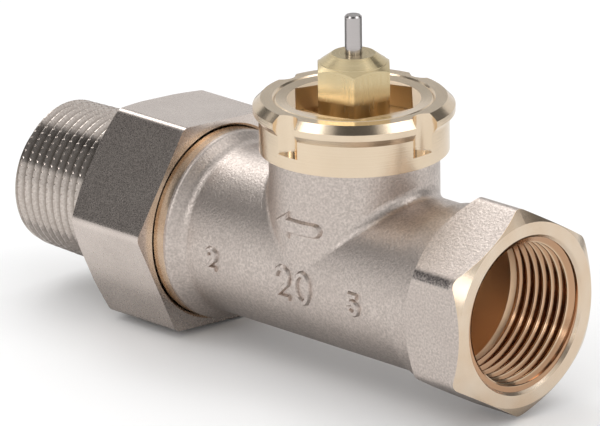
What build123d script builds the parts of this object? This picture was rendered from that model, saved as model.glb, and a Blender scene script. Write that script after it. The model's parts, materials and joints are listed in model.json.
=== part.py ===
"""Thermostatic radiator valve body, straight pattern, with its union nut and tailpiece.

The origin is the centre of the inlet mouth. +X points out of the inlet along the flow axis and +Z points
up along the pin. All sizes are in millimetres.
"""

import os
from math import atan, cos, degrees, pi

from build123d import *

# Places along the flow axis
inlet_to_stem = 39.3
stem_to_tail_end = 70.0
stem_to_nut = 31.4
stem_to_union_cone = 26.5
stem_to_union_band = 28.6

# Inlet end of the forging
hex_across_flats = 32.0
hex_length = 10.4
hex_edge_radius = 2.2
hex_face_chamfer = 1.7
hex_face_radius = 15.9
hex_face_spread = 1.4
hex_back_length = 2.6
inlet_ring_radius = 15.3
inlet_ring_length = 3.7
barrel_radius = 14.6

# Pipe thread: grooves on the tailpiece, and the inlet's wall drawn at the thread's root
pipe_pitch = 25.4 / 14
pipe_thread_depth = 1.16
thread_flat = 0.24
thread_open = 1.72
thread_overrun = 0.1
inlet_thread_radius = 13.22
inlet_thread_length = 14.5
inlet_countersink = 0.5

# Waterways inside the forging
passage_radius = 10.0
inlet_passage_radius = 12.5
inlet_passage_length = 27.5
slot_width = 17.0
slot_height = 9.5
slot_reach = 7.0
slot_overlap = 1.0
low_slot_drop = 6.4
high_slot_rise = 5.2
outlet_slot_length = 20.0
seat_bore_radius = 7.0
seat_lip_radius = 8.4
seat_height = 1.0
seat_lip_height = 0.8
chamber_radius = 10.0

# Neck of the forging
neck_radius = 14.4
neck_height = 20.3
neck_blend = 2.0
neck_edge = 0.4
housing_bore_radius = 10.7
housing_bore_floor = 8.6
collar_socket_floor = 14.0

# Union end of the forging
union_band_radius = 16.5
union_band_edge = 0.7
union_cone_blend = 2.5
union_band_length = 3.6
union_thread_radius = 16.4
union_thread_depth = 1.25
union_pitch = 25.4 / 11
union_thread_open = 2.18
union_thread_length = 9.0
union_relief = 1.2
union_seat_radius = 13.9
union_gap = 0.3

# Collar that carries the head
shank_clearance = 0.05
collar_shank_wall = 1.65
collar_radius = 16.0
flange_radius = 17.0
flange_bottom = 25.6
flange_under_height = 1.3
flange_top = 28.0
flange_chamfer = 1.3
rim_inner_radius = 13.7
rim_groove_width = 0.6
rim_groove_depth = 0.3
dish_drop = 0.1
dish_slope = 0.12
socket_across_flats = 19.6
socket_turn = 45.0
key_notch_radius = 2.5
key_notch_bottom = 22.5
key_notch_count = 4

# Insert housing
housing_bottom = 9.0
housing_top = 25.0
spring_chamber_radius = 8.0
spring_chamber_top = 20.4
clip_groove_bottom = 9.3
clip_groove_height = 0.75
clip_groove_depth = 0.6
seal_groove_bottom = 11.0
seal_groove_height = 2.2
seal_groove_radius = 9.0
tool_slot_width = 2.4
tool_slot_depth = 1.6
gland_seat_depth = 1.3
gland_seat_radius = 5.9

# Gland nut
gland_shank_radius = 4.5
gland_across_flats = 12.0
gland_hex_bottom = 29.7
gland_top = 36.95
gland_top_radius = 3.7
gland_cone_height = 2.35
gland_step_radius = 5.7
gland_step = 0.12
gland_collar_radius = 6.0
gland_hex_turn = 45.0
seal_chamber_radius = 2.9
seal_chamber_top = 28.0

# Moving stem
pin_radius = 1.45
pin_top = 43.6
pin_chamfer = 0.25
pin_foot_radius = 2.4
pin_foot_height = 1.0
running_clearance = 0.06
spindle_radius = 2.0
spindle_tail_radius = 1.5
spindle_head_radius = 3.8
spindle_head_height = 1.0
spring_plate_radius = 5.4
spring_plate_height = 0.8
lift = 2.5
seat_disc_radius = 8.2
seat_disc_height = 1.8
cone_radius = 8.6
cone_height = 2.0
cone_chamfer = 0.6
disc_washer_radius = 4.2
disc_washer_height = 0.8
cone_nut_across_flats = 5.5
cone_nut_height = 2.2
spindle_tail_stick_out = 0.4

# Small pieces round the stem
guide_height = 1.6
guide_hub_radius = 3.4
guide_hub_height = 0.8
clip_width = 1.4
clip_gap_width = 5.0
spring_wire_radius = 0.35
spring_radius = 4.4
spring_turns = 4.25
spring_end_gap = 0.05
gland_ring_wire = 0.6
pin_ring_wire = 0.67
pin_ring_gap = 0.05
spacer_height = 0.6
gland_bush_height = 2.6

# Union nut
nut_across_flats = 36.0
nut_length = 16.9
nut_bore_radius = 16.7
nut_lip = 3.2
nut_edge_radius = 1.7
nut_end_chamfer = 1.1
nut_end_radius = 18.4
nut_near_chamfer = 0.4
nut_turn = -4.4

# Tailpiece with its taper pipe thread
tail_tip_radius = 12.87
tail_plain_length = 3.0
tail_taper = 1 / 32
tail_end_chamfer = 0.3
tail_collar_radius = 15.0
tail_nose_radius = 11.0
tail_hole_clearance = 0.4
tail_lug_width = 3.0
tail_lug_height = 1.6
tail_lug_length = 9.0
tail_lug_count = 2

# Worked-out places
stem_x = -inlet_to_stem
hex_back_x = -hex_length - hex_back_length
hex_cone_radius = hex_face_radius + hex_face_spread * hex_face_chamfer
ring_end_x = hex_back_x - inlet_ring_length
cone_start_x = stem_x - stem_to_union_cone
band_start_x = stem_x - stem_to_union_band
nut_near_x = stem_x - stem_to_nut
thread_start_x = band_start_x - union_band_length
union_end_x = thread_start_x - union_thread_length
nut_far_x = nut_near_x - nut_length
lip_front_x = nut_far_x + nut_lip
tail_end_x = stem_x - stem_to_tail_end
tail_collar_x = union_end_x - union_gap
tail_shank_radius = tail_tip_radius + (nut_far_x - tail_end_x) * tail_taper
floor_z = seat_height - seat_lip_height
rim_z = flange_top + flange_chamfer
dish_z = rim_z - dish_drop
dish_radius = rim_inner_radius - rim_groove_width
socket_floor_z = housing_top + shank_clearance
collar_shank_radius = housing_bore_radius + collar_shank_wall
collar_socket_radius = collar_shank_radius + shank_clearance
housing_radius = housing_bore_radius - shank_clearance
disc_bottom_z = seat_height + lift
disc_top_z = disc_bottom_z + seat_disc_height
cone_top_z = disc_top_z + cone_height
washer_bottom_z = disc_bottom_z - disc_washer_height
cone_nut_bottom_z = washer_bottom_z - cone_nut_height
head_top_z = spring_chamber_top
head_bottom_z = head_top_z - spindle_head_height
plate_bottom_z = head_bottom_z - spring_plate_height
guide_bottom_z = clip_groove_bottom + clip_groove_height
guide_top_z = guide_bottom_z + guide_height
gland_corner_radius = gland_across_flats / 2 / cos(pi / 6)
gland_cone_slope = gland_cone_height / (gland_corner_radius - gland_top_radius)
gland_step_z = gland_top - gland_cone_slope * (gland_step_radius - gland_top_radius)
pin_hole_radius = pin_radius + running_clearance
spindle_hole_radius = spindle_radius + running_clearance
tail_fit_radius = spindle_tail_radius + running_clearance
stem_axis = Axis((stem_x, 0, 0), (0, 0, 1))


def stem_plane(height):
    """Level plane through the stem at a height."""
    return Plane(origin=(stem_x, 0, height), x_dir=(1, 0, 0), z_dir=(0, 0, 1))


def stem_section():
    """Upright plane through the stem, with radius across and height up."""
    return Plane(origin=(stem_x, 0, 0), x_dir=(1, 0, 0), z_dir=(0, -1, 0))


def across_plane(x):
    """Upright plane square to the flow axis, with Y across and Z up."""
    return Plane(origin=(x, 0, 0), x_dir=(0, 1, 0), z_dir=(1, 0, 0))


def groove_plane(path):
    """Plane across the start of a helix on the flow axis, with its X pointing away from that axis."""
    start = path @ 0
    return Plane(origin=start, x_dir=(0, start.Y, start.Z), z_dir=path % 0)


os.makedirs("parts", exist_ok=True)

# Forged body: inlet hexagon, barrel, neck and union end in one piece
with BuildPart() as valve_body:
    with BuildSketch(across_plane(hex_back_x)):
        RegularPolygon(hex_across_flats / 2, 6, major_radius=False, rotation=90)
    extrude(amount=-hex_back_x)
    fillet(valve_body.edges().filter_by(Axis.X), radius=hex_edge_radius)
    with BuildSketch(Plane.XZ):
        with BuildLine():
            Polyline(
                (0, 0),
                (0, hex_face_radius),
                (-hex_face_chamfer, hex_cone_radius),
                (-hex_length, hex_cone_radius),
                (hex_back_x, inlet_ring_radius),
                (hex_back_x, 0),
                close=True,
            )
        make_face()
    revolve(axis=Axis.X, mode=Mode.INTERSECT)
    with BuildSketch(Plane.XZ):
        with BuildLine():
            Polyline(
                (-hex_length, 0),
                (-hex_length, inlet_ring_radius),
                (ring_end_x, inlet_ring_radius),
                (ring_end_x, barrel_radius),
                (cone_start_x, barrel_radius),
                (band_start_x, union_band_radius),
                (thread_start_x, union_band_radius),
                (thread_start_x, union_thread_radius - union_thread_depth),
                (thread_start_x - union_relief, union_thread_radius - union_thread_depth),
                (thread_start_x - union_relief, union_thread_radius),
                (union_end_x + union_thread_depth, union_thread_radius),
                (union_end_x, union_thread_radius - union_thread_depth),
                (union_end_x, 0),
                close=True,
            )
        make_face()
    revolve(axis=Axis.X)
    band_edge = valve_body.edges().filter_by(GeomType.CIRCLE).filter_by_position(Axis.X, band_start_x, band_start_x)
    fillet(band_edge, radius=union_band_edge)
    cone_edge = valve_body.edges().filter_by(GeomType.CIRCLE).filter_by_position(Axis.X, cone_start_x, cone_start_x)
    fillet(cone_edge, radius=union_cone_blend)
    with BuildSketch(stem_plane(0)):
        Circle(neck_radius)
    extrude(amount=neck_height)
    neck_seam = valve_body.edges(Select.LAST).filter_by(GeomType.CIRCLE, reverse=True)
    fillet(neck_seam.filter_by(GeomType.LINE, reverse=True), radius=neck_blend)
    neck_rim = valve_body.edges().filter_by(GeomType.CIRCLE).filter_by_position(Axis.Z, neck_height, neck_height)
    chamfer(neck_rim, length=neck_edge)
    # Inlet mouth, thread bore and passage
    with BuildSketch(Plane.XZ):
        with BuildLine():
            Polyline(
                (0, 0),
                (0, inlet_thread_radius + inlet_countersink),
                (-inlet_countersink, inlet_thread_radius),
                (-inlet_thread_length, inlet_thread_radius),
                (-inlet_thread_length - (inlet_thread_radius - inlet_passage_radius), inlet_passage_radius),
                (-inlet_passage_length, inlet_passage_radius),
                (-inlet_passage_length, 0),
                close=True,
            )
        make_face()
    revolve(axis=Axis.X, mode=Mode.SUBTRACT)
    # Waterway under the seat, and the one that leaves above it
    with BuildSketch(across_plane(stem_x - slot_reach)):
        with Locations((0, -low_slot_drop)):
            SlotOverall(slot_width, slot_height)
    extrude(amount=inlet_to_stem + slot_reach - inlet_passage_length + slot_overlap, mode=Mode.SUBTRACT)
    with BuildSketch(across_plane(stem_x)):
        with Locations((0, high_slot_rise)):
            SlotOverall(slot_width, slot_height)
    extrude(amount=-outlet_slot_length, mode=Mode.SUBTRACT)
    # Seat, chamber and the bores that take the insert and the collar
    with BuildSketch(stem_section()):
        with BuildLine():
            Polyline(
                (0, -low_slot_drop),
                (seat_bore_radius, -low_slot_drop),
                (seat_bore_radius, seat_height),
                (seat_lip_radius, seat_height),
                (seat_lip_radius, floor_z),
                (chamber_radius, floor_z),
                (chamber_radius, housing_bore_floor),
                (housing_bore_radius, housing_bore_floor),
                (housing_bore_radius, collar_socket_floor),
                (collar_socket_radius, collar_socket_floor),
                (collar_socket_radius, neck_height),
                (0, neck_height),
                close=True,
            )
        make_face()
    revolve(axis=stem_axis, mode=Mode.SUBTRACT)
    # Outlet bore with the cone that the tailpiece seats in
    with BuildSketch(Plane.XZ):
        with BuildLine():
            Polyline(
                (stem_x - outlet_slot_length, 0),
                (stem_x - outlet_slot_length, passage_radius),
                (union_end_x + union_seat_radius - passage_radius, passage_radius),
                (union_end_x, union_seat_radius),
                (union_end_x, 0),
                close=True,
            )
        make_face()
    revolve(axis=Axis.X, mode=Mode.SUBTRACT)
    # Thread groove of the union end
    with BuildLine() as union_helix:
        Helix(
            union_pitch,
            union_thread_length + union_pitch - union_relief / 2,
            union_thread_radius,
            center=(union_end_x - union_pitch, 0, 0),
            direction=(1, 0, 0),
        )
    with BuildSketch(groove_plane(union_helix.line)):
        with BuildLine():
            Polyline(
                (thread_overrun, -union_thread_open / 2),
                (-union_thread_depth, -thread_flat / 2),
                (-union_thread_depth, thread_flat / 2),
                (thread_overrun, union_thread_open / 2),
                close=True,
            )
        make_face()
    sweep(path=union_helix.line, is_frenet=True, mode=Mode.SUBTRACT)
valve_body.part.label = "valve_body"
export_step(valve_body.part, "parts/valve_body.step")

# Turned brass collar with a hexagon socket, and the notches that locate the head
with BuildPart() as head_collar:
    with BuildSketch(stem_section()):
        with BuildLine():
            Polyline(
                (housing_bore_radius, collar_socket_floor),
                (collar_shank_radius, collar_socket_floor),
                (collar_shank_radius, neck_height),
                (collar_radius, neck_height),
                (collar_radius, flange_bottom),
                (flange_radius, flange_bottom + flange_under_height),
                (flange_radius, flange_top),
                (flange_radius - flange_chamfer, rim_z),
                (rim_inner_radius, rim_z),
                (rim_inner_radius - rim_groove_width / 2, rim_z - rim_groove_depth),
                (dish_radius, dish_z),
                (0, dish_z - dish_radius * dish_slope),
                (0, socket_floor_z),
                (housing_bore_radius, socket_floor_z),
                close=True,
            )
        make_face()
    revolve(axis=stem_axis)
    with BuildSketch(stem_plane(socket_floor_z)):
        RegularPolygon(socket_across_flats / 2, 6, major_radius=False, rotation=-socket_turn)
    extrude(amount=rim_z - socket_floor_z, mode=Mode.SUBTRACT)
    with BuildSketch(stem_plane(key_notch_bottom)):
        with PolarLocations(flange_radius, key_notch_count):
            Circle(key_notch_radius)
    extrude(amount=rim_z - key_notch_bottom, mode=Mode.SUBTRACT)
head_collar.part.label = "head_collar"
export_step(head_collar.part, "parts/head_collar.step")

# Insert housing, screwed down inside the collar
with BuildPart() as insert_housing:
    with BuildSketch(stem_section()):
        with BuildLine():
            Polyline(
                (spring_chamber_radius, housing_bottom),
                (housing_radius, housing_bottom),
                (housing_radius, seal_groove_bottom),
                (seal_groove_radius, seal_groove_bottom),
                (seal_groove_radius, seal_groove_bottom + seal_groove_height),
                (housing_radius, seal_groove_bottom + seal_groove_height),
                (housing_radius, housing_top),
                (gland_seat_radius, housing_top),
                (gland_seat_radius, housing_top - gland_seat_depth),
                (gland_shank_radius + shank_clearance, housing_top - gland_seat_depth),
                (gland_shank_radius + shank_clearance, spring_chamber_top),
                (spring_chamber_radius, spring_chamber_top),
                (spring_chamber_radius, guide_bottom_z),
                (spring_chamber_radius + clip_groove_depth, guide_bottom_z),
                (spring_chamber_radius + clip_groove_depth, clip_groove_bottom),
                (spring_chamber_radius, clip_groove_bottom),
                close=True,
            )
        make_face()
    revolve(axis=stem_axis)
    with BuildSketch(stem_plane(housing_top)):
        Rectangle(2 * housing_radius, tool_slot_width)
        Circle(gland_collar_radius, mode=Mode.SUBTRACT)
    extrude(amount=-tool_slot_depth, mode=Mode.SUBTRACT)
insert_housing.part.label = "insert_housing"
export_step(insert_housing.part, "parts/insert_housing.step")

# Rubber ring that seals the housing in the neck
with BuildPart() as housing_seal:
    with BuildSketch(stem_section()):
        with Locations(((seal_groove_radius + housing_bore_radius) / 2, seal_groove_bottom + seal_groove_height / 2)):
            Circle((housing_bore_radius - seal_groove_radius) / 2 - shank_clearance)
    revolve(axis=stem_axis)
housing_seal.part.label = "housing_seal"
export_step(housing_seal.part, "parts/housing_seal.step")

# Gland nut: hexagon with a coned top, collar and threaded shank
with BuildPart() as gland_nut:
    with BuildSketch(stem_plane(gland_hex_bottom)):
        RegularPolygon(gland_across_flats / 2, 6, major_radius=False, rotation=-gland_hex_turn)
    extrude(amount=gland_top - gland_hex_bottom)
    with BuildSketch(stem_section()):
        with BuildLine():
            Polyline(
                (0, gland_hex_bottom),
                (gland_across_flats, gland_hex_bottom),
                (gland_across_flats, gland_top - gland_cone_height),
                (gland_corner_radius, gland_top - gland_cone_height),
                (gland_step_radius, gland_step_z - gland_step),
                (gland_step_radius, gland_step_z),
                (gland_top_radius, gland_top),
                (0, gland_top),
                close=True,
            )
        make_face()
    revolve(axis=stem_axis, mode=Mode.INTERSECT)
    with BuildSketch(stem_section()):
        with BuildLine():
            Polyline(
                (0, spring_chamber_top),
                (gland_shank_radius, spring_chamber_top),
                (gland_shank_radius, housing_top),
                (gland_collar_radius, housing_top),
                (gland_collar_radius, gland_hex_bottom),
                (0, gland_hex_bottom),
                close=True,
            )
        make_face()
    revolve(axis=stem_axis)
    with BuildSketch(stem_section()):
        with BuildLine():
            Polyline(
                (0, spring_chamber_top),
                (seal_chamber_radius, spring_chamber_top),
                (seal_chamber_radius, seal_chamber_top),
                (pin_hole_radius, seal_chamber_top),
                (pin_hole_radius, gland_top),
                (0, gland_top),
                close=True,
            )
        make_face()
    revolve(axis=stem_axis, mode=Mode.SUBTRACT)
gland_nut.part.label = "gland_nut"
export_step(gland_nut.part, "parts/gland_nut.step")

# Rubber ring under the gland nut's collar
with BuildPart() as gland_seal:
    with BuildSketch(stem_section()):
        with Locations((gland_shank_radius + gland_ring_wire, housing_top - gland_ring_wire)):
            Circle(gland_ring_wire - shank_clearance)
    revolve(axis=stem_axis)
gland_seal.part.label = "gland_seal"
export_step(gland_seal.part, "parts/gland_seal.step")

# Packing in the gland, from the top down: ring, spacer, ring and bush
upper_ring_z = seal_chamber_top - pin_ring_wire - pin_ring_gap
spacer_top_z = upper_ring_z - pin_ring_wire
lower_ring_z = spacer_top_z - spacer_height - pin_ring_wire
bush_top_z = lower_ring_z - pin_ring_wire

with BuildPart() as upper_pin_seal:
    with BuildSketch(stem_section()):
        with Locations(((pin_hole_radius + seal_chamber_radius) / 2, upper_ring_z)):
            Circle(pin_ring_wire)
    revolve(axis=stem_axis)
upper_pin_seal.part.label = "upper_pin_seal"
export_step(upper_pin_seal.part, "parts/upper_pin_seal.step")

with BuildPart() as seal_spacer:
    with BuildSketch(stem_plane(spacer_top_z)):
        Circle(seal_chamber_radius - shank_clearance)
        Circle(pin_hole_radius, mode=Mode.SUBTRACT)
    extrude(amount=-spacer_height)
seal_spacer.part.label = "seal_spacer"
export_step(seal_spacer.part, "parts/seal_spacer.step")

with BuildPart() as lower_pin_seal:
    with BuildSketch(stem_section()):
        with Locations(((pin_hole_radius + seal_chamber_radius) / 2, lower_ring_z)):
            Circle(pin_ring_wire)
    revolve(axis=stem_axis)
lower_pin_seal.part.label = "lower_pin_seal"
export_step(lower_pin_seal.part, "parts/lower_pin_seal.step")

with BuildPart() as gland_bush:
    with BuildSketch(stem_plane(bush_top_z)):
        Circle(seal_chamber_radius - shank_clearance)
        Circle(pin_hole_radius, mode=Mode.SUBTRACT)
    extrude(amount=-gland_bush_height)
gland_bush.part.label = "gland_bush"
export_step(gland_bush.part, "parts/gland_bush.step")

# Steel pressure pin with the foot that keeps it in the gland
with BuildPart() as pressure_pin:
    with BuildSketch(stem_section()):
        with BuildLine():
            Polyline(
                (0, head_top_z),
                (pin_foot_radius, head_top_z),
                (pin_foot_radius, head_top_z + pin_foot_height),
                (pin_radius, head_top_z + pin_foot_height),
                (pin_radius, pin_top - pin_chamfer),
                (pin_radius - pin_chamfer, pin_top),
                (0, pin_top),
                close=True,
            )
        make_face()
    revolve(axis=stem_axis)
pressure_pin.part.label = "pressure_pin"
export_step(pressure_pin.part, "parts/pressure_pin.step")

# Spindle: head under the pin, guided rod and a thin tail for the cone
with BuildPart() as spindle:
    with BuildSketch(stem_section()):
        with BuildLine():
            Polyline(
                (0, cone_nut_bottom_z - spindle_tail_stick_out),
                (spindle_tail_radius, cone_nut_bottom_z - spindle_tail_stick_out),
                (spindle_tail_radius, cone_top_z),
                (spindle_radius, cone_top_z),
                (spindle_radius, head_bottom_z),
                (spindle_head_radius, head_bottom_z),
                (spindle_head_radius, head_top_z),
                (0, head_top_z),
                close=True,
            )
        make_face()
    revolve(axis=stem_axis)
spindle.part.label = "spindle"
export_step(spindle.part, "parts/spindle.step")

# Plate under the spindle's head that the spring pushes on
with BuildPart() as spring_plate:
    with BuildSketch(stem_plane(plate_bottom_z)):
        Circle(spring_plate_radius)
        Circle(spindle_hole_radius, mode=Mode.SUBTRACT)
    extrude(amount=spring_plate_height)
spring_plate.part.label = "spring_plate"
export_step(spring_plate.part, "parts/spring_plate.step")

# Guide bush at the foot of the housing, with a hub round the spindle
with BuildPart() as guide_bush:
    with BuildSketch(stem_section()):
        with BuildLine():
            Polyline(
                (spindle_hole_radius, guide_bottom_z - guide_hub_height),
                (guide_hub_radius, guide_bottom_z - guide_hub_height),
                (guide_hub_radius, guide_bottom_z),
                (spring_chamber_radius - shank_clearance, guide_bottom_z),
                (spring_chamber_radius - shank_clearance, guide_top_z),
                (spindle_hole_radius, guide_top_z),
                close=True,
            )
        make_face()
    revolve(axis=stem_axis)
guide_bush.part.label = "guide_bush"
export_step(guide_bush.part, "parts/guide_bush.step")

# Spring clip that holds the guide bush in
clip_radius = spring_chamber_radius + clip_groove_depth - shank_clearance
with BuildPart() as guide_clip:
    with BuildSketch(stem_plane(clip_groove_bottom)):
        Circle(clip_radius)
        Circle(clip_radius - clip_width, mode=Mode.SUBTRACT)
        Rectangle(clip_radius, clip_gap_width, align=(Align.MIN, Align.CENTER), mode=Mode.SUBTRACT)
    extrude(amount=clip_groove_height)
guide_clip.part.label = "guide_clip"
export_step(guide_clip.part, "parts/guide_clip.step")

# Return spring between the guide bush and the spring plate
spring_bottom_z = guide_top_z + spring_wire_radius + spring_end_gap
spring_height = plate_bottom_z - spring_wire_radius - spring_end_gap - spring_bottom_z
with BuildPart() as return_spring:
    with BuildLine() as spring_path:
        Helix(spring_height / spring_turns, spring_height, spring_radius, center=(stem_x, 0, spring_bottom_z))
    with BuildSketch(Plane(origin=spring_path.line @ 0, z_dir=spring_path.line % 0)):
        Circle(spring_wire_radius)
    sweep(path=spring_path.line, is_frenet=True)
return_spring.part.label = "return_spring"
export_step(return_spring.part, "parts/return_spring.step")

# Valve cone with its rubber disc, washer and nut on the spindle's tail
with BuildPart() as valve_cone:
    with BuildSketch(stem_section()):
        with BuildLine():
            Polyline(
                (tail_fit_radius, disc_top_z),
                (cone_radius, disc_top_z),
                (cone_radius, cone_top_z - cone_chamfer),
                (cone_radius - cone_chamfer, cone_top_z),
                (tail_fit_radius, cone_top_z),
                close=True,
            )
        make_face()
    revolve(axis=stem_axis)
valve_cone.part.label = "valve_cone"
export_step(valve_cone.part, "parts/valve_cone.step")

with BuildPart() as seat_disc:
    with BuildSketch(stem_plane(disc_bottom_z)):
        Circle(seat_disc_radius)
        Circle(tail_fit_radius, mode=Mode.SUBTRACT)
    extrude(amount=seat_disc_height)
seat_disc.part.label = "seat_disc"
export_step(seat_disc.part, "parts/seat_disc.step")

with BuildPart() as disc_washer:
    with BuildSketch(stem_plane(washer_bottom_z)):
        Circle(disc_washer_radius)
        Circle(tail_fit_radius, mode=Mode.SUBTRACT)
    extrude(amount=disc_washer_height)
disc_washer.part.label = "disc_washer"
export_step(disc_washer.part, "parts/disc_washer.step")

with BuildPart() as cone_nut:
    with BuildSketch(stem_plane(cone_nut_bottom_z)):
        RegularPolygon(cone_nut_across_flats / 2, 6, major_radius=False)
        Circle(tail_fit_radius, mode=Mode.SUBTRACT)
    extrude(amount=cone_nut_height)
cone_nut.part.label = "cone_nut"
export_step(cone_nut.part, "parts/cone_nut.step")

# Union nut: hexagon, coned at its far end, with a lip behind the tailpiece's collar
nut_hole_radius = tail_shank_radius + tail_hole_clearance
with BuildPart() as union_nut:
    with BuildSketch(across_plane(nut_far_x)):
        RegularPolygon(nut_across_flats / 2, 6, major_radius=False, rotation=nut_turn)
    extrude(amount=nut_length)
    fillet(union_nut.edges().filter_by(Axis.X), radius=nut_edge_radius)
    with BuildSketch(Plane.XZ):
        with BuildLine():
            Polyline(
                (nut_near_x, 0),
                (nut_near_x, nut_across_flats),
                (nut_far_x + nut_end_chamfer, nut_across_flats),
                (nut_far_x + nut_end_chamfer, nut_across_flats / 2 / cos(pi / 6)),
                (nut_far_x, nut_end_radius),
                (nut_far_x, 0),
                close=True,
            )
        make_face()
    revolve(axis=Axis.X, mode=Mode.INTERSECT)
    with BuildSketch(Plane.XZ):
        with BuildLine():
            Polyline(
                (nut_near_x, 0),
                (nut_near_x, nut_bore_radius + nut_near_chamfer),
                (nut_near_x - nut_near_chamfer, nut_bore_radius),
                (lip_front_x, nut_bore_radius),
                (lip_front_x, nut_hole_radius),
                (nut_far_x, nut_hole_radius),
                (nut_far_x, 0),
                close=True,
            )
        make_face()
    revolve(axis=Axis.X, mode=Mode.SUBTRACT)
union_nut.part.label = "union_nut"
export_step(union_nut.part, "parts/union_nut.step")

# Tailpiece: coned nose, collar, taper-threaded spigot and the lugs for the tail key
with BuildPart() as tailpiece:
    with BuildSketch(Plane.XZ):
        with BuildLine():
            Polyline(
                (tail_collar_x + union_seat_radius - tail_nose_radius, passage_radius),
                (tail_collar_x + union_seat_radius - tail_nose_radius, tail_nose_radius),
                (tail_collar_x, union_seat_radius),
                (tail_collar_x, tail_collar_radius),
                (lip_front_x, tail_collar_radius),
                (lip_front_x, tail_shank_radius),
                (nut_far_x, tail_shank_radius),
                (tail_end_x + tail_end_chamfer, tail_tip_radius + tail_end_chamfer * tail_taper),
                (tail_end_x, tail_tip_radius - tail_end_chamfer),
                (tail_end_x, passage_radius),
                close=True,
            )
        make_face()
    revolve(axis=Axis.X)
    with BuildSketch(across_plane(lip_front_x)):
        with PolarLocations(passage_radius - tail_lug_height, tail_lug_count):
            Rectangle(2 * tail_lug_height, tail_lug_width, align=(Align.MIN, Align.CENTER))
    extrude(amount=-tail_lug_length)
    with BuildLine() as tail_helix:
        Helix(
            pipe_pitch,
            nut_far_x - tail_plain_length - tail_end_x + pipe_pitch,
            tail_tip_radius - pipe_pitch * tail_taper,
            center=(tail_end_x - pipe_pitch, 0, 0),
            direction=(1, 0, 0),
            cone_angle=degrees(atan(tail_taper)),
        )
    with BuildSketch(groove_plane(tail_helix.line)):
        with BuildLine():
            Polyline(
                (thread_overrun, -thread_open / 2),
                (-pipe_thread_depth, -thread_flat / 2),
                (-pipe_thread_depth, thread_flat / 2),
                (thread_overrun, thread_open / 2),
                close=True,
            )
        make_face()
    sweep(path=tail_helix.line, is_frenet=True, mode=Mode.SUBTRACT)
tailpiece.part.label = "tailpiece"
export_step(tailpiece.part, "parts/tailpiece.step")
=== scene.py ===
import json
import math

import bmesh
import bpy
from mathutils import Matrix, Vector


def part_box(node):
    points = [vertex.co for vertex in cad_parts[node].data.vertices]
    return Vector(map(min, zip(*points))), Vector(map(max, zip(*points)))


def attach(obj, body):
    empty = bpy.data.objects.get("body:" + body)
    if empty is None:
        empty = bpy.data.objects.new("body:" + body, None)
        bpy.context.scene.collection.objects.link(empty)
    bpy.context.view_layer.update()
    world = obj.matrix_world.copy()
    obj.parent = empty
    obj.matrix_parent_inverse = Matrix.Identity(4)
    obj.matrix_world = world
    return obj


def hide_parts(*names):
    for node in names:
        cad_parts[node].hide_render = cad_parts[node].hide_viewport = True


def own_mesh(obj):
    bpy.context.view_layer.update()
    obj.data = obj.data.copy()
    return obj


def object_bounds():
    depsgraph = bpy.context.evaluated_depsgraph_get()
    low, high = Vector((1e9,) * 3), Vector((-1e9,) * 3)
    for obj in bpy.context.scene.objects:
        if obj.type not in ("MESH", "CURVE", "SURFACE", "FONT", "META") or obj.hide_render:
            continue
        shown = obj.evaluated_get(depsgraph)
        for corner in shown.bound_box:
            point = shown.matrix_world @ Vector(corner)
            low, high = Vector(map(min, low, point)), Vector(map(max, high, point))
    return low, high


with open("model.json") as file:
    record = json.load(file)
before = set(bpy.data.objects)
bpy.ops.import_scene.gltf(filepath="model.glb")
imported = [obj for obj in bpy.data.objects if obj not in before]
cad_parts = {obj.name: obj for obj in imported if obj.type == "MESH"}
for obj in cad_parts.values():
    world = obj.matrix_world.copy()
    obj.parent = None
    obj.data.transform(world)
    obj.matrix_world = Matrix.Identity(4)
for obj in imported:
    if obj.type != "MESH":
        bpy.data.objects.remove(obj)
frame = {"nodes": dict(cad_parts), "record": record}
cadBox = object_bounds()
cadNodes = frame["nodes"]
mounts = {m["name"]: m for m in frame["record"]["mounts"]}
mm = 0.001
mergeDistance = 0.001 * mm
stemX = mounts["head_collar"]["pos_m"][0]  # the pin's axis
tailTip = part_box("tailpiece")[0].x
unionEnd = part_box("valve_body")[0].x
floorZ = cadBox[0][2]  # what the object lies on
print("frame loaded", len(cadNodes), "nodes")

# camera, solved from the hexagons, the collar and the thread in the picture
cameraLook = {
    "azimuth": 44.74,
    "elevation": 18.99,
    "roll": -0.63,
    "distance": 1.4335,
    "target": Vector((stemX - 12.98 * mm, 0, 5.64 * mm)),
    "focalPixels": 8481,
    "imageWidth": 600,
    "sensor": 36.0,
    "clipEnd": 20,
}


def makeCamera(look):
    az = math.radians(look["azimuth"])
    el = math.radians(look["elevation"])
    back = Vector((math.sin(az) * math.cos(el), -math.cos(az) * math.cos(el), math.sin(el)))
    right = Vector((math.cos(az), math.sin(az), 0))
    up = back.cross(right)
    turn = Matrix((right, up, back)).transposed().to_4x4()
    roll = Matrix.Rotation(math.radians(look["roll"]), 4, "Z")
    cam = bpy.data.cameras.new("photoCamera")
    cam.sensor_width = look["sensor"]
    cam.lens = look["focalPixels"] * look["sensor"] / look["imageWidth"]
    cam.clip_end = look["clipEnd"]
    obj = bpy.data.objects.new("photoCamera", cam)
    bpy.context.scene.collection.objects.link(obj)
    obj.matrix_world = Matrix.Translation(look["target"] + back * look["distance"]) @ turn @ roll
    bpy.context.scene.camera = obj


makeCamera(cameraLook)
print("camera set")


# small helpers for shader trees
def put(tree, kind, **settings):
    node = tree.nodes.new(kind)
    for key, value in settings.items():
        setattr(node, key, value)
    return node


def wire(tree, source, target):
    tree.links.new(source, target)


def feed(tree, value, socket):
    if isinstance(value, (int, float)):
        socket.default_value = value
    elif isinstance(value, tuple):
        socket.default_value = (*value, 1)  # a colour
    else:
        wire(tree, value, socket)


def calc(tree, operation, *values):
    node = put(tree, "ShaderNodeMath", operation=operation)
    for i, value in enumerate(values):
        feed(tree, value, node.inputs[i])
    return node.outputs[0]


def above(tree, value, limit):
    return calc(tree, "GREATER_THAN", value, limit)


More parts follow.
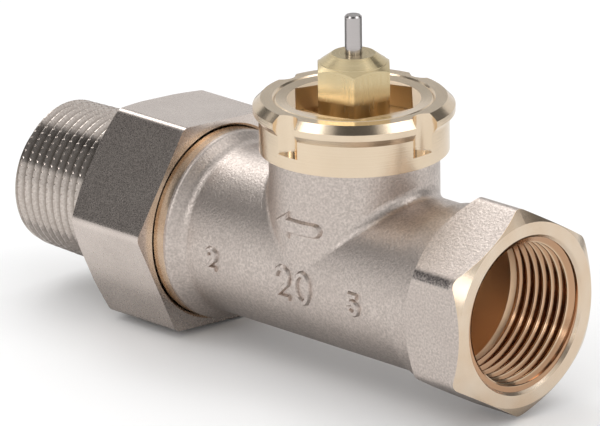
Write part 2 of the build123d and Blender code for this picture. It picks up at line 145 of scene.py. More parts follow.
def below(tree, value, limit):
    return calc(tree, "LESS_THAN", value, limit)


def times(tree, first, second):
    return calc(tree, "MULTIPLY", first, second)


def either(tree, first, second):
    return calc(tree, "MAXIMUM", first, second)


def rescale(tree, value, fromRange, toRange=(0, 1)):
    node = put(tree, "ShaderNodeMapRange")
    for i, limit in enumerate((*fromRange, *toRange)):
        node.inputs[i + 1].default_value = limit
    wire(tree, value, node.inputs[0])
    return node.outputs[0]


def blendColor(tree, factor, first, second):
    node = put(tree, "ShaderNodeMix", data_type="RGBA")
    wire(tree, factor, node.inputs[0])
    feed(tree, first, node.inputs[6])
    feed(tree, second, node.inputs[7])
    return node.outputs[2]


def blendValue(tree, factor, first, second):
    node = put(tree, "ShaderNodeMix", data_type="FLOAT")
    wire(tree, factor, node.inputs[0])
    feed(tree, first, node.inputs[2])
    feed(tree, second, node.inputs[3])
    return node.outputs[0]


def noise(tree, vector, scale, detail=3.0):
    node = put(tree, "ShaderNodeTexNoise")
    node.inputs["Scale"].default_value = scale
    node.inputs["Detail"].default_value = detail
    wire(tree, vector, node.inputs["Vector"])
    return node.outputs["Fac"]


def startMaterial(name, metallic=0):
    mat = bpy.data.materials.new(name)
    mat.use_nodes = True
    tree = mat.node_tree
    tree.nodes.clear()
    out = put(tree, "ShaderNodeOutputMaterial")
    shader = put(tree, "ShaderNodeBsdfPrincipled")
    shader.inputs["Metallic"].default_value = metallic
    wire(tree, shader.outputs[0], out.inputs[0])
    return mat, tree, shader


def objectPlace(tree):
    return put(tree, "ShaderNodeTexCoord").outputs["Object"]


def axisPlace(tree, axis):
    node = put(tree, "ShaderNodeMapping", vector_type="POINT")
    if axis == "stem":
        node.inputs["Location"].default_value = (-stemX, 0, 0)
    else:
        node.inputs["Rotation"].default_value = (0, -math.pi / 2, 0)  # the flow axis becomes Z
    wire(tree, objectPlace(tree), node.inputs["Vector"])
    return node.outputs[0]


def stretchedPlace(tree, scale):
    node = put(tree, "ShaderNodeMapping")
    node.inputs["Scale"].default_value = scale
    wire(tree, objectPlace(tree), node.inputs["Vector"])
    return node.outputs[0]


def splitPlace(tree, place):
    node = put(tree, "ShaderNodeSeparateXYZ")
    wire(tree, place, node.inputs[0])
    return node.outputs


def bumpFrom(tree, shader, height, distance, strength=1.0):
    node = put(tree, "ShaderNodeBump")
    node.inputs["Distance"].default_value = distance
    node.inputs["Strength"].default_value = strength
    wire(tree, height, node.inputs["Height"])
    wire(tree, node.outputs[0], shader.inputs["Normal"])


def startGroup(name, setting, outs):
    group = bpy.data.node_groups.new(name, "ShaderNodeTree")
    group.interface.new_socket("Place", in_out="INPUT", socket_type="NodeSocketVector")
    group.interface.new_socket(setting, in_out="INPUT", socket_type="NodeSocketFloat")
    for label in outs:
        group.interface.new_socket(label, in_out="OUTPUT", socket_type="NodeSocketFloat")
    return group, put(group, "NodeGroupInput"), put(group, "NodeGroupOutput")


def useGroup(tree, group, **values):
    node = put(tree, "ShaderNodeGroup", node_tree=group)
    for label, value in values.items():
        feed(tree, value, node.inputs[label])
    return node.outputs


# blasted skin of a forging: fine pits, and broad patches of tone
grainLook = {
    "pitDetail": 4,
    "pitRoughness": 0.62,
    "speckleRange": (0.38, 0.66),
    "patchScale": 160,
    "patchRange": (0.3, 0.7),
}


def makeGrainGroup(look):
    group, entry, leave = startGroup("blastedGrain", "Pits", ["Height", "Speckle", "Patches"])
    pits = put(group, "ShaderNodeTexNoise")
    pits.inputs["Detail"].default_value = look["pitDetail"]
    pits.inputs["Roughness"].default_value = look["pitRoughness"]
    wire(group, entry.outputs["Place"], pits.inputs["Vector"])
    wire(group, entry.outputs["Pits"], pits.inputs["Scale"])
    height = pits.outputs["Fac"]
    patches = noise(group, entry.outputs["Place"], look["patchScale"])
    wire(group, height, leave.inputs["Height"])
    wire(group, rescale(group, height, look["speckleRange"]), leave.inputs["Speckle"])
    wire(group, rescale(group, patches, look["patchRange"]), leave.inputs["Patches"])
    return group


# tool lines of a turned surface, round an axis that is the Z of the place given
turnedLook = {"lineDetail": 3}


def makeTurnedGroup(look):
    group, entry, leave = startGroup("turnedLines", "Lines", ["Height", "Radius", "Along"])
    x, y, z = splitPlace(group, entry.outputs["Place"])
    radius = calc(group, "SQRT", calc(group, "ADD", times(group, x, x), times(group, y, y)))
    lines = put(group, "ShaderNodeTexNoise", noise_dimensions="1D")
    lines.inputs["Detail"].default_value = look["lineDetail"]
    wire(group, calc(group, "ADD", radius, z), lines.inputs["W"])
    wire(group, entry.outputs["Lines"], lines.inputs["Scale"])
    wire(group, lines.outputs["Fac"], leave.inputs["Height"])
    wire(group, radius, leave.inputs["Radius"])
    wire(group, z, leave.inputs["Along"])
    return group


grainGroup = makeGrainGroup(grainLook)
turnedGroup = makeTurnedGroup(turnedLook)

# nickel plate, as the forging and the nut share it
plate = {
    "light": (0.81, 0.72, 0.66),
    "mid": (0.74, 0.65, 0.595),
    "dark": (0.56, 0.49, 0.445),
}
forgingLook = {
    "pits": 2500,
    "pitDepth": 0.10 * mm,
    "pitStrength": 0.75,
    "skinRoughness": (0.36, 0.28),
    "toolLines": 5200,
    "toolLineShare": 0.12,
    "cutRoughness": 0.22,
    "faceFrom": -0.06 * mm,
    "faceDull": (0.80, 0.62, 0.45),
    "facePale": (0.86, 0.72, 0.57),
    "coneRadius": 15.84 * mm,
    "coneSpread": 1.4,
    "coneLength": 3 * mm,
    "mouthLength": 2.0 * mm,
    "boreRadius": 13.76 * mm,
    "boreLength": 30 * mm,
    "threadLength": 14.0 * mm,
    "threadWall": (0.62, 0.38, 0.23),
    "deepWall": (0.98, 0.70, 0.46),
    "deepRoughness": 0.42,
    "unionLength": 11.9 * mm,
}
# colour and reach of a painted dark reflection on one edge of the inlet hexagon
edgeReflectionLook = {
    "color": (0.14, 0.125, 0.12),
    "height": 8.75 * mm,
    "halfWidth": (0.55 * mm, 0.85 * mm),
    "frontFrom": -14 * mm,
    "length": 14 * mm,
    "pitRange": (0.42, 0.56),
    "cover": (1, 0.55),
    "ragged": 2.4 * mm,
    "endRange": (-1.5 * mm, -0.9 * mm),
}


# painted dark reflection along one edge of the inlet hexagon, where its rounded edge would reflect dark,
# broken up by the pits and with a ragged end
def edgeReflectionMask(tree, look, place, pits):
    x, y, z = splitPlace(tree, place)
    fromEdge = calc(tree, "ABSOLUTE", calc(tree, "SUBTRACT", z, look["height"]))
    onEdge = rescale(tree, fromEdge, look["halfWidth"], (1, 0))
    onFront = times(tree, onEdge, below(tree, y, look["frontFrom"]))
    darkenedEdge = times(tree, onFront, rescale(tree, pits, look["pitRange"], look["cover"]))
    end = calc(tree, "ADD", x, times(tree, pits, look["ragged"]))
    reach = times(tree, rescale(tree, end, look["endRange"], (1, 0)), above(tree, x, -look["length"]))
    return times(tree, darkenedEdge, reach)


# nickel over the forging, cut through to brass where the tools went
def makePlatedForging(look, edgeReflection):
    mat, tree, shader = startMaterial("platedForging", 1)
    place = objectPlace(tree)
    grain = useGroup(tree, grainGroup, Place=place, Pits=look["pits"])
    turned = useGroup(tree, turnedGroup, Place=axisPlace(tree, "flow"), Lines=look["toolLines"])
    x = splitPlace(tree, place)[0]
    radius = turned["Radius"]
    inletFace = above(tree, x, look["faceFrom"])
    coneLimit = calc(tree, "SUBTRACT", look["coneRadius"], times(tree, x, look["coneSpread"]))
    cone = times(tree, above(tree, radius, coneLimit), above(tree, x, -look["coneLength"]))
    bore = times(tree, below(tree, radius, look["boreRadius"]), above(tree, x, -look["boreLength"]))
    union = below(tree, x, unionEnd + look["unionLength"])
    brass = either(tree, either(tree, inletFace, bore), either(tree, cone, union))
    mouth = above(tree, x, -look["mouthLength"])
    inside = times(tree, bore, calc(tree, "SUBTRACT", 1, mouth))
    deep = below(tree, x, -look["threadLength"])  # the rough wall behind the thread

    tone = blendColor(tree, grain["Patches"], plate["mid"], plate["light"])
    skin = blendColor(tree, grain["Speckle"], plate["dark"], tone)
    # painted dark reflection on the hexagon's edge
    skin = blendColor(tree, edgeReflectionMask(tree, edgeReflection, place, grain["Height"]), skin, edgeReflection["color"])
    face = blendColor(tree, grain["Patches"], look["faceDull"], look["facePale"])
    wall = blendColor(tree, deep, look["threadWall"], look["deepWall"])
    cut = blendColor(tree, inside, face, wall)
    wire(tree, blendColor(tree, brass, skin, cut), shader.inputs["Base Color"])

    skinRough = rescale(tree, grain["Speckle"], (0, 1), look["skinRoughness"])
    cutRough = blendValue(tree, times(tree, bore, deep), look["cutRoughness"], look["deepRoughness"])
    wire(tree, blendValue(tree, brass, skinRough, cutRough), shader.inputs["Roughness"])
    toolLines = times(tree, turned["Height"], look["toolLineShare"])
    height = blendValue(tree, brass, grain["Height"], toolLines)
    bumpFrom(tree, shader, height, look["pitDepth"], look["pitStrength"])
    return mat


# plated nut, with milling lines across its flats
nutLook = {
    "pits": 3400,
    "millingLines": 5200,
    "millingStretch": (1, 0.16, 0.16),
    "lineRange": (0.2, 0.45),
    "lineShare": 0.6,
    "pitShare": 0.4,
    "depth": 0.03 * mm,
    "strength": 0.18,
    "roughness": (0.30, 0.18),
}


def makePlatedNut(look):
    mat, tree, shader = startMaterial("platedNut", 1)
    grain = useGroup(tree, grainGroup, Place=objectPlace(tree), Pits=look["pits"])
    lines = noise(tree, stretchedPlace(tree, look["millingStretch"]), look["millingLines"])
    tone = blendColor(tree, grain["Patches"], plate["mid"], plate["light"])
    skin = blendColor(tree, rescale(tree, lines, look["lineRange"]), plate["mid"], tone)
    wire(tree, skin, shader.inputs["Base Color"])
    wire(tree, rescale(tree, grain["Speckle"], (0, 1), look["roughness"]), shader.inputs["Roughness"])
    milled = times(tree, lines, look["lineShare"])
    height = calc(tree, "ADD", milled, times(tree, grain["Height"], look["pitShare"]))
    bumpFrom(tree, shader, height, look["depth"], look["strength"])
    return mat


# bright plate on the tailpiece, with a taper thread that is notched on its crests
tailLook = {
    "pits": 2600,
    "toolLines": 6000,
    "tipRadius": mounts["outlet_thread"]["dims"]["r_mm"] * mm,
    "taper": 1 / 32,  # on the radius
    "threadFrom": 11.2 * mm,
    "dull": (0.59, 0.515, 0.465),
    "bright": (0.77, 0.695, 0.635),
    "roughness": (0.15, 0.22),
    "grooveDepth": (0.35 * mm, 1.1 * mm),
    "grooveColor": (0.26, 0.22, 0.185),
    "crestDepth": (0.05 * mm, 0.18 * mm),
    "notches": 62,
    "notchRange": (0.5, 0.9),
    "notchColor": (0.60, 0.52, 0.46),
    "notchDepth": 0.035 * mm,
    "flankDepth": 1.1 * mm,
    "flankSoftness": 0.62,
    "lineDepth": 0.003 * mm,
}


def makePlatedThread(look):
    mat, tree, shader = startMaterial("platedThread", 1)
    place = axisPlace(tree, "flow")
    grain = useGroup(tree, grainGroup, Place=objectPlace(tree), Pits=look["pits"])
    turned = useGroup(tree, turnedGroup, Place=place, Lines=look["toolLines"])
    along = calc(tree, "SUBTRACT", turned["Along"], tailTip)
    crest = calc(tree, "ADD", look["tipRadius"], times(tree, along, look["taper"]))
    depth = calc(tree, "SUBTRACT", crest, turned["Radius"])
    threaded = above(tree, turned["Radius"], look["threadFrom"])
    groove = times(tree, rescale(tree, depth, look["grooveDepth"]), threaded)  # darker down in the thread
    onCrest = times(tree, rescale(tree, depth, look["crestDepth"], (1, 0)), threaded)
    x, y = splitPlace(tree, place)[:2]
    wave = calc(tree, "COSINE", times(tree, calc(tree, "ARCTAN2", y, x), look["notches"]))
    notch = times(tree, rescale(tree, wave, look["notchRange"]), onCrest)  # these hold the packing

    skin = blendColor(tree, grain["Speckle"], look["dull"], look["bright"])
    skin = blendColor(tree, notch, skin, look["notchColor"])
    wire(tree, blendColor(tree, groove, skin, look["grooveColor"]), shader.inputs["Base Color"])
    wire(tree, rescale(tree, grain["Patches"], (0, 1), look["roughness"]), shader.inputs["Roughness"])

    flank = times(tree, calc(tree, "MINIMUM", depth, look["flankDepth"]), threaded)
    softened = times(tree, flank, look["flankSoftness"])  # the flanks look rolled, not cut
    height = calc(tree, "SUBTRACT", softened, times(tree, notch, look["notchDepth"]))
    height = calc(tree, "ADD", height, times(tree, turned["Height"], look["lineDepth"]))
    bumpFrom(tree, shader, height, distance=1.0)  # the height is a length already
    return mat


# turned brass: fine rings, a little uneven in tone
brassLook = {
    "pits": 900,
    "lineShare": 0.6,
    "patchShare": 0.4,
    "lineRange": (0.2, 0.8),
    "lineStrength": 0.5,
}
collarLook = {
    "name": "turnedBrass",
    "pale": (0.92, 0.77, 0.59),
    "deep": (0.84, 0.67, 0.48),
    "roughness": (0.24, 0.14),
    "toolLines": 4200,
    "lineDepth": 0.02 * mm,
    "holeRadius": 11.25 * mm,
    "holeColor": (0.95, 0.76, 0.55),
    "holeRoughness": 0.36,
}
glandLook = {
    "name": "glandBrass",
    "pale": (0.80, 0.67, 0.42),
    "deep": (0.66, 0.52, 0.29),
    "roughness": (0.30, 0.20),
    "toolLines": 3600,
    "lineDepth": 0.012 * mm,
    "flatsTop": 34.6 * mm,
    "drawnLines": 2600,
    "drawnStretch": (1, 1, 0.05),
}


def makeTurnedBrass(look, shared):
    mat, tree, shader = startMaterial(look["name"], 1)
    grain = useGroup(tree, grainGroup, Place=objectPlace(tree), Pits=shared["pits"])
    turned = useGroup(tree, turnedGroup, Place=axisPlace(tree, "stem"), Lines=look["toolLines"])
    lines = turned["Height"]
    if "flatsTop" in look:  # bar stock keeps its drawn lines along the flats
        drawn = noise(tree, stretchedPlace(tree, look["drawnStretch"]), look["drawnLines"])
        lines = blendValue(tree, below(tree, turned["Along"], look["flatsTop"]), lines, drawn)
    patches = times(tree, grain["Patches"], shared["patchShare"])
    mix = calc(tree, "ADD", times(tree, lines, shared["lineShare"]), patches)
    color = blendColor(tree, mix, look["deep"], look["pale"])
    rough = rescale(tree, lines, shared["lineRange"], look["roughness"])
    if "holeRadius" in look:  # warmer and duller inside the hole
        hole = below(tree, turned["Radius"], look["holeRadius"])
        color = blendColor(tree, hole, color, look["holeColor"])
        rough = blendValue(tree, hole, rough, look["holeRoughness"])
    wire(tree, color, shader.inputs["Base Color"])
    wire(tree, rough, shader.inputs["Roughness"])
    bumpFrom(tree, shader, lines, look["lineDepth"], shared["lineStrength"])
    return mat


# cut thread in the inlet: pale crests, brown down in the grooves, and painted shade on the crests of the
# inner turns, deeper in the bore
threadLook = {
    "toolLines": 5200,
    "grooveRadius": (12.08 * mm, 12.40 * mm),
    "grooveColor": (0.58, 0.35, 0.21),
    "turnRange": (-12 * mm, -3 * mm),
    "shadedInnerCrest": (0.62, 0.39, 0.25),
    "outerCrest": (0.90, 0.69, 0.48),
    "roughness": 0.13,
    "lineDepth": 0.01 * mm,
    "lineStrength": 0.4,
}


def makeThreadBrass(look):
    mat, tree, shader = startMaterial("threadBrass", 1)
    turned = useGroup(tree, turnedGroup, Place=axisPlace(tree, "flow"), Lines=look["toolLines"])
    groove = rescale(tree, turned["Radius"], look["grooveRadius"])
    # painted shade: the crests darken on the turns deeper in the bore
    outer = rescale(tree, turned["Along"], look["turnRange"])
    crest = blendColor(tree, outer, look["shadedInnerCrest"], look["outerCrest"])
    wire(tree, blendColor(tree, groove, crest, look["grooveColor"]), shader.inputs["Base Color"])
    shader.inputs["Roughness"].default_value = look["roughness"]
    bumpFrom(tree, shader, turned["Height"], look["lineDepth"], look["lineStrength"])
    return mat


# ground pin and drawn spring wire
steelLook = {
    "toolLines": 7000,
    "darkShare": 0.8,
    "lineRange": (0.2, 0.8),
    "lineDepth": 0.01 * mm,
    "lineStrength": 0.4,
}
pinLook = {"name": "groundSteel", "color": (0.64, 0.60, 0.59), "roughness": (0.25, 0.20)}
springLook = {"name": "springWire", "color": (0.50, 0.49, 0.49), "roughness": (0.33, 0.28)}


def makeGroundSteel(look, shared):
    mat, tree, shader = startMaterial(look["name"], 1)
    turned = useGroup(tree, turnedGroup, Place=axisPlace(tree, "stem"), Lines=shared["toolLines"])
    lines = turned["Height"]
    dark = tuple(c * shared["darkShare"] for c in look["color"])
    wire(tree, blendColor(tree, lines, dark, look["color"]), shader.inputs["Base Color"])
    wire(tree, rescale(tree, lines, shared["lineRange"], look["roughness"]), shader.inputs["Roughness"])
    bumpFrom(tree, shader, lines, shared["lineDepth"], shared["lineStrength"])
    return mat


# moulded rubber and plastic
mouldedLook = {"pits": 2200, "pitDepth": 0.02 * mm, "pitStrength": 0.3}
rubberLook = {
    "name": "sealRubber",
    "light": (0.035, 0.035, 0.037),
    "dark": (0.018, 0.018, 0.019),
    "roughness": (0.68, 0.54),
}
spacerLook = {
    "name": "spacerPlastic",
    "light": (0.86, 0.85, 0.80),
    "dark": (0.78, 0.76, 0.70),
    "roughness": (0.53, 0.39),
}


def makeMoulded(look, shared):
    mat, tree, shader = startMaterial(look["name"])
    grain = useGroup(tree, grainGroup, Place=objectPlace(tree), Pits=shared["pits"])
    wire(tree, blendColor(tree, grain["Patches"], look["dark"], look["light"]), shader.inputs["Base Color"])
    wire(tree, rescale(tree, grain["Speckle"], (0, 1), look["roughness"]), shader.inputs["Roughness"])
    bumpFrom(tree, shader, grain["Height"], shared["pitDepth"], shared["pitStrength"])
    return mat


materials = {
    "plated_forging": makePlatedForging(forgingLook, edgeReflectionLook),
    "plated_nut": makePlatedNut(nutLook),
    "plated_tail": makePlatedThread(tailLook),
    "turned_brass": makeTurnedBrass(collarLook, brassLook),
    "gland_brass": makeTurnedBrass(glandLook, brassLook),
    "pin_steel": makeGroundSteel(pinLook, steelLook),
    "spring_steel": makeGroundSteel(springLook, steelLook),
    "seal_rubber": makeMoulded(rubberLook, mouldedLook),
    "spacer_plastic": makeMoulded(spacerLook, mouldedLook),
    "thread_brass": makeThreadBrass(threadLook),
}

for entry in frame["record"]["subparts"]:
    obj = cadNodes[entry["node"]]
    obj.data.materials.clear()
    obj.data.materials.append(materials[entry["material_slot"]])


def wholeMesh(bm):
    return list(bm.verts) + list(bm.edges) + list(bm.faces)


def linkMesh(bm, name, material):
    mesh = bpy.data.meshes.new(name)
    bm.to_mesh(mesh)
    bm.free()
    mesh.materials.append(material)
    obj = bpy.data.objects.new(name, mesh)
    bpy.context.scene.collection.objects.link(obj)
    return obj


# turn a finished bmesh into a piece of the object
def finishPiece(bm, name, material, body, sharpAngle):
    bmesh.ops.remove_doubles(bm, verts=bm.verts, dist=mergeDistance)
    bmesh.ops.recalc_face_normals(bm, faces=bm.faces)
    limit = math.radians(sharpAngle)
    for face in bm.faces:
        face.smooth = True
    for edge in bm.edges:
        edge.smooth = edge.is_manifold and edge.calc_face_angle(0) < limit
    obj = linkMesh(bm, name, materials[material])
    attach(obj, body)
    return obj


# the inlet's thread, one ridge wound inward from the root along the flow axis
inletThread = {
    "pitch": 25.4 / 14 * mm,  # fourteen turns to the inch
    "root": mounts["inlet_thread"]["dims"]["r_mm"] * mm,
    "depth": 1.16 * mm,
    "start": -14.3 * mm,
    "turns": 7.8,
    "stepsPerTurn": 72,
    "footShare": 0.98,
    "crestShare": 0.16,
    "rounding": 0.05 * mm,
    "runout": 0.6 * mm,
    "mouth": -0.55 * mm,
    "sink": 0.03 * mm,
    "cutDistance": 0.0001 * mm,
    "sharpAngle": 28,
}


def makeInletThread(size):
    pitch, root, start, runout = size["pitch"], size["root"], size["start"], size["runout"]
    foot = pitch * size["footShare"] / 2
    crest = pitch * size["crestShare"] / 2
    shoulder = size["depth"] - size["rounding"]
    sunk = -size["sink"]
    ridge = [(-foot, sunk), (-crest, shoulder), (0, size["depth"]), (crest, shoulder), (foot, sunk)]
    bm = bmesh.new()
    verts = [bm.verts.new((start + along, 0, root - inward)) for along, inward in ridge]
    face = bm.faces.new(verts)
    bmesh.ops.spin(
        bm,
        geom=verts + list(face.edges) + [face],
        cent=(0, 0, 0),
        axis=(1, 0, 0),
        dvec=(pitch / size["stepsPerTurn"], 0, 0),
        angle=2 * math.pi * size["turns"],
        steps=int(size["turns"] * size["stepsPerTurn"]),
    )
    end = start + pitch * size["turns"]
    for v in bm.verts:  # the ridge runs out at both ends
        radius = math.hypot(v.co.y, v.co.z)
        inward = root - radius
        turn = math.atan2(-v.co.y, v.co.z) / (2 * math.pi)
        turn += round((v.co.x - start) / pitch - turn)
        middle = start + pitch * turn
        fade = min(1, (end - middle) / runout, (middle - start) / runout)
        if inward > 0:
            wanted = root - inward * max(0, fade)
            v.co.y *= wanted / radius
            v.co.z *= wanted / radius
    bmesh.ops.remove_doubles(bm, verts=bm.verts, dist=mergeDistance)
    bmesh.ops.bisect_plane(  # the countersink cuts it off
        bm,
        geom=wholeMesh(bm),
        dist=size["cutDistance"],
        plane_co=(size["mouth"], 0, 0),
        plane_no=(1, 0, 0),
        clear_outer=True,
    )
    bmesh.ops.holes_fill(bm, edges=[edge for edge in bm.edges if edge.is_boundary], sides=0)
    finishPiece(bm, "inlet_thread", "thread_brass", "body", size["sharpAngle"])


makeInletThread(inletThread)
print("inlet thread wound")

# the return spring, which on the valve shortens from its lower end as the pin goes down; here it is copied
# to a mesh of its own and hung on the body
returnCoil = {"node": "return_spring", "joint": "pin_press", "sharpAngle": 60}


def makeReturnCoil(look):
    bm = bmesh.new()
    bm.from_mesh(cadNodes[look["node"]].data)
    coil = finishPiece(bm, "return_coil", "spring_steel", "body", look["sharpAngle"])
    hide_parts(look["node"])
    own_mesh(coil)


makeReturnCoil(returnCoil)

# marks forged on the front of the body, with drafted sides; X counts from the pin's axis
flowArrow = {
    "tip": -5.3 * mm,
    "shoulder": -1.3 * mm,
    "end": 5.5 * mm,
    "height": 9.9 * mm,
    "shaftHalf": 1.35 * mm,
    "headHalf": 2.5 * mm,
    "roundSteps": 6,
    "rise": 0.62 * mm,
    "draft": 0.38 * mm,
    "sink": 0.3 * mm,
    "cuts": 16,
}
markLook = {"castFrom": -60 * mm, "sharpAngle": 40}


# lay a mark drawn flat in X and Z on the front of the forging; its Y holds the rise
def finishMark(bm, name, look):
    body = cadNodes["valve_body"]
    for v in bm.verts:
        castFrom = Vector((stemX + v.co.x, look["castFrom"], v.co.z))
        surface = body.ray_cast(castFrom, Vector((0, 1, 0)))[1]
        v.co = surface - Vector((0, v.co.y, 0))
    finishPiece(bm, name, "plated_forging", "body", look["sharpAngle"])


def newFace(grown):
    return next(item for item in grown["geom"] if isinstance(item, bmesh.types.BMFace))


def makeArrow(size):
    z, half = size["height"], size["shaftHalf"]
    outline = [(size["tip"], z), (size["shoulder"], z + size["headHalf"]), (size["shoulder"], z + half)]
    for i in range(size["roundSteps"] + 1):
        turn = math.pi * (0.5 - i / size["roundSteps"])
        outline.append((size["end"] - half + half * math.cos(turn), z + half * math.sin(turn)))
    outline += [(size["shoulder"], z - half), (size["shoulder"], z - size["headHalf"])]
    bm = bmesh.new()
    face = bm.faces.new([bm.verts.new((x, -size["sink"], h)) for x, h in outline])
    top = newFace(bmesh.ops.extrude_face_region(bm, geom=[face]))
    bmesh.ops.translate(bm, verts=list(top.verts), vec=(0, size["sink"], 0))
    bmesh.ops.inset_region(bm, faces=[top], thickness=size["draft"], use_even_offset=True)
    bmesh.ops.translate(bm, verts=list(top.verts), vec=(0, size["rise"], 0))
    for i in range(1, size["cuts"]):  # cut across so that it can bend round the neck
        x = size["tip"] + (size["end"] - size["tip"]) * i / size["cuts"]
        bmesh.ops.bisect_plane(bm, geom=wholeMesh(bm), plane_co=(x, 0, 0), plane_no=(1, 0, 0))
    finishMark(bm, "flow_arrow", markLook)


# plain figures as pen strokes, each in a box one wide and one high
roundSteps = 16
roundTurns = [2 * math.pi * i / roundSteps for i in range(roundSteps + 1)]
figureStrokes = {
    "0": [(0.5 + 0.5 * math.sin(turn), 0.5 + 0.5 * math.cos(turn)) for turn in roundTurns],
    "2": [
        (0.02, 0.72), (0.1, 0.9), (0.3, 1.0), (0.62, 1.0), (0.88, 0.9), (0.97, 0.72), (0.9, 0.52),
        (0.0, 0.0), (1.0, 0.0),
    ],
    "5": [
        (0.95, 1.0), (0.15, 1.0), (0.06, 0.56), (0.45, 0.64), (0.82, 0.54), (0.97, 0.32), (0.85, 0.1),
        (0.5, 0.0), (0.04, 0.1),
    ],
}
sizeFigure = {"z": -3.1 * mm, "width": 3.0 * mm, "height": 5.0 * mm}
mouldFigure = {"width": 2.0 * mm, "height": 3.2 * mm}
bodyFigures = [
    {"name": "size_figure_2", "figure": "2", "x": -4.3 * mm, **sizeFigure},
    {"name": "size_figure_0", "figure": "0", "x": 0.3 * mm, **sizeFigure},
    {"name": "mould_figure_5", "figure": "5", "x": 12.7 * mm, "z": -2.2 * mm, **mouldFigure},
    {"name": "mould_figure_2", "figure": "2", "x": -20.6 * mm, "z": -2.0 * mm, **mouldFigure},
]
figureStroke = {
    "footHalf": 0.62 * mm,
    "topHalf": 0.30 * mm,
    "rise": 0.55 * mm,
    "sink": 0.3 * mm,
    "sharpestBend": 0.5,
    "closeGap": 0.01 * mm,
}


# the stroke's section at each point of a figure's path
def strokeSections(path, closed, stroke):
    foot, top, rise, sink = stroke["footHalf"], stroke["topHalf"], stroke["rise"], stroke["sink"]
    section = [(-foot, -sink), (-foot, 0), (-top, rise), (top, rise), (foot, 0), (foot, -sink)]
    rows = []
    for i, point in enumerate(path):
        before = path[i - 1] if i else (path[-2] if closed else point)
        after = path[i + 1] if i + 1 < len(path) else (path[1] if closed else point)
        toward = (point - before).normalized() + (after - point).normalized()
        side = Vector((-toward.z, 0, toward.x)).normalized()
        bend = 1
        if point not in (before, after):
            bend = max(stroke["sharpestBend"], toward.length / 2)  # keeps the width round a bend
        rows.append([point + side * (across / bend) + Vector((0, up, 0)) for across, up in section])
    return rows


def makeFigure(look, stroke):
    outline = figureStrokes[look["figure"]]
    path = [Vector((look["x"] + a * look["width"], 0, look["z"] + b * look["height"])) for a, b in outline]
    closed = (path[0] - path[-1]).length < stroke["closeGap"]
    rows = strokeSections(path, closed, stroke)
    bm = bmesh.new()
    ends = [bm.faces.new([bm.verts.new(corner) for corner in rows[0]])]
    for row in rows[1:]:  # pull the end on from point to point
        ends.append(newFace(bmesh.ops.extrude_face_region(bm, geom=[ends[-1]])))
        for v, corner in zip(ends[-1].verts, row):
            v.co = corner
    inner = ends if closed else ends[1:-1]
    bmesh.ops.delete(bm, geom=inner, context="FACES_ONLY")
    bmesh.ops.remove_doubles(bm, verts=bm.verts, dist=mergeDistance)
    finishMark(bm, look["name"], markLook)


makeArrow(flowArrow)
for figure in bodyFigures:
    makeFigure(figure, figureStroke)
print("marks raised", 1 + len(bodyFigures))

# pale floor, a little darker in reflections
floorLook = {
    "size": 3.0,
    "gap": 0.05 * mm,
    "color": (0.92, 0.92, 0.92),
    "reflected": (0.74, 0.74, 0.74),
    "roughness": 0.6,
}


def makeFloor(look):
    mat, tree, shader = startMaterial("paleFloor")
    seen = put(tree, "ShaderNodeLightPath").outputs["Is Camera Ray"]
    wire(tree, blendColor(tree, seen, look["reflected"], look["color"]), shader.inputs["Base Color"])
    shader.inputs["Roughness"].default_value = look["roughness"]
    bm = bmesh.new()
    bmesh.ops.create_grid(bm, x_segments=1, y_segments=1, size=look["size"])
    bmesh.ops.translate(bm, verts=bm.verts, vec=(stemX, 0, floorZ - look["gap"]))
    linkMesh(bm, "studioFloor", mat)


# white as the camera sees it, greyer in reflections, stronger as light on the object
worldLook = {"seen": 1.0, "reflected": 0.88, "ambient": 1.3}


def makeWorld(look):
    world = bpy.data.worlds.new("studioWorld")
    bpy.context.scene.world = world
    world.use_nodes = True
    tree = world.node_tree
    tree.nodes.clear()
    out = put(tree, "ShaderNodeOutputWorld")
    sky = put(tree, "ShaderNodeBackground")
    rays = put(tree, "ShaderNodeLightPath").outputs
    shiny = either(tree, rays["Is Glossy Ray"], rays["Is Transmission Ray"])
    unseen = blendValue(tree, shiny, look["ambient"], look["reflected"])
    wire(tree, blendValue(tree, rays["Is Camera Ray"], unseen, look["seen"]), sky.inputs["Strength"])
    wire(tree, sky.outputs[0], out.inputs[0])


def aim(obj, place, target):
    turn = (Vector(target) - Vector(place)).to_track_quat("-Z", "Y").to_matrix().to_4x4()
    obj.matrix_world = Matrix.Translation(place) @ turn


lampTarget = (stemX, 0, 5 * mm)
lamps = [
    {"name": "topSoftbox", "place": (-0.42, 0.16, 0.45), "size": 0.26, "power": 0.4},
    {"name": "leftSoftbox", "place": (-0.20, -0.24, 0.46), "size": 0.16, "power": 0.15},
    {"name": "rightSoftbox", "place": (0.18, 0.17, 0.46), "size": 0.16, "power": 0.15},
    {"name": "frontSoftbox", "place": (-0.11, -0.46, 0.24), "size": 0.14, "power": 0.18},
    {"name": "inletSoftbox", "place": (0.45, -0.16, 0.12), "size": 0.12, "power": 0.08},
]


def makeLamp(look, target):
    light = bpy.data.lights.new(look["name"], "AREA")
    light.shape = "SQUARE"
    light.size = look["size"]
    light.energy = look["power"]
    obj = bpy.data.objects.new(look["name"], light)
    bpy.context.scene.collection.objects.link(obj)
    aim(obj, look["place"], target)


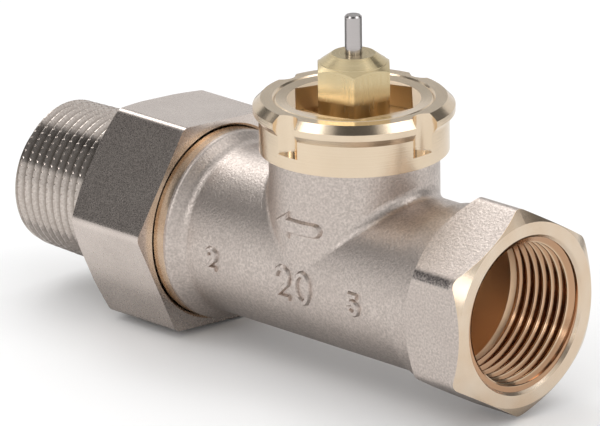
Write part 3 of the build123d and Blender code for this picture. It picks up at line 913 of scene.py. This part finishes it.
# dark cards that only reflections see, as a studio hangs them round shiny metal
cardRoughness = 0.9
hungCards = [
    {"name": "leftCard", "place": (-0.385, -0.235, 0.28), "size": (0.34, 0.37), "tone": 0.11},
    {"name": "topCard", "place": (0.08, -0.11, 0.47), "size": (0.28, 0.20), "tone": 0.06},
    {"name": "rightCard", "place": (0.27, -0.13, 0.26), "size": (0.16, 0.20), "tone": 0.15},
    {"name": "backGrey", "place": (-0.36, 0.32, 0.245), "size": (0.24, 0.16), "tone": 0.42},
    {"name": "backCard", "place": (0.02, 0.37, 0.28), "size": (0.16, 0.26), "tone": 0.1},
    {"name": "coneCard", "place": (0.14, 0.38, 0.15), "size": (0.28, 0.20), "tone": 0.12},
    {"name": "threadCard", "place": (0.035, -0.31, 0.29), "size": (0.25, 0.32), "tone": 0.14},
    {"name": "sideCard", "place": (-0.48, 0.0, 0.20), "size": (0.12, 0.10), "tone": 0.08},
]
flatCards = [  # these lie just over the floor, placed from the pin's axis
    {"name": "rearCard", "place": (-0.18, 0.13, 0.3 * mm), "size": (0.12, 0.20), "tone": 0.2},
    {"name": "pinLeftCard", "place": (-0.175, -0.025, 0.4 * mm), "size": (0.06, 0.17), "tone": 0.05},
    {"name": "pinRightCard", "place": (0.03, 0.182, 0.4 * mm), "size": (0.20, 0.06), "tone": 0.05},
    # a sheet under the object that only reflections see: a painted contact shadow in the floor's reflection
    {"name": "underShadowCard", "place": (-0.015, 0, 0.2 * mm), "size": (0.11, 0.035), "tone": 0.45},
]


def makeCard(look, place, target):
    mat, tree, shader = startMaterial(look["name"])
    feed(tree, (look["tone"],) * 3, shader.inputs["Base Color"])
    shader.inputs["Roughness"].default_value = cardRoughness
    bm = bmesh.new()
    bmesh.ops.create_grid(bm, x_segments=1, y_segments=1, size=0.5)  # one wide and one high
    bmesh.ops.scale(bm, verts=bm.verts, vec=(*look["size"], 1))
    obj = linkMesh(bm, look["name"], mat)
    aim(obj, place, target)
    obj.visible_camera = False
    obj.visible_diffuse = False
    obj.visible_shadow = False


makeFloor(floorLook)
makeWorld(worldLook)
for lamp in lamps:
    makeLamp(lamp, lampTarget)
for card in hungCards:
    makeCard(card, Vector(card["place"]), Vector((stemX, 0, 0)))
for card in flatCards:
    place = Vector((stemX, 0, floorZ)) + Vector(card["place"])
    makeCard(card, place, place - Vector((0, 0, 1)))
bpy.context.scene.view_settings.view_transform = "Standard"
print("studio lit")
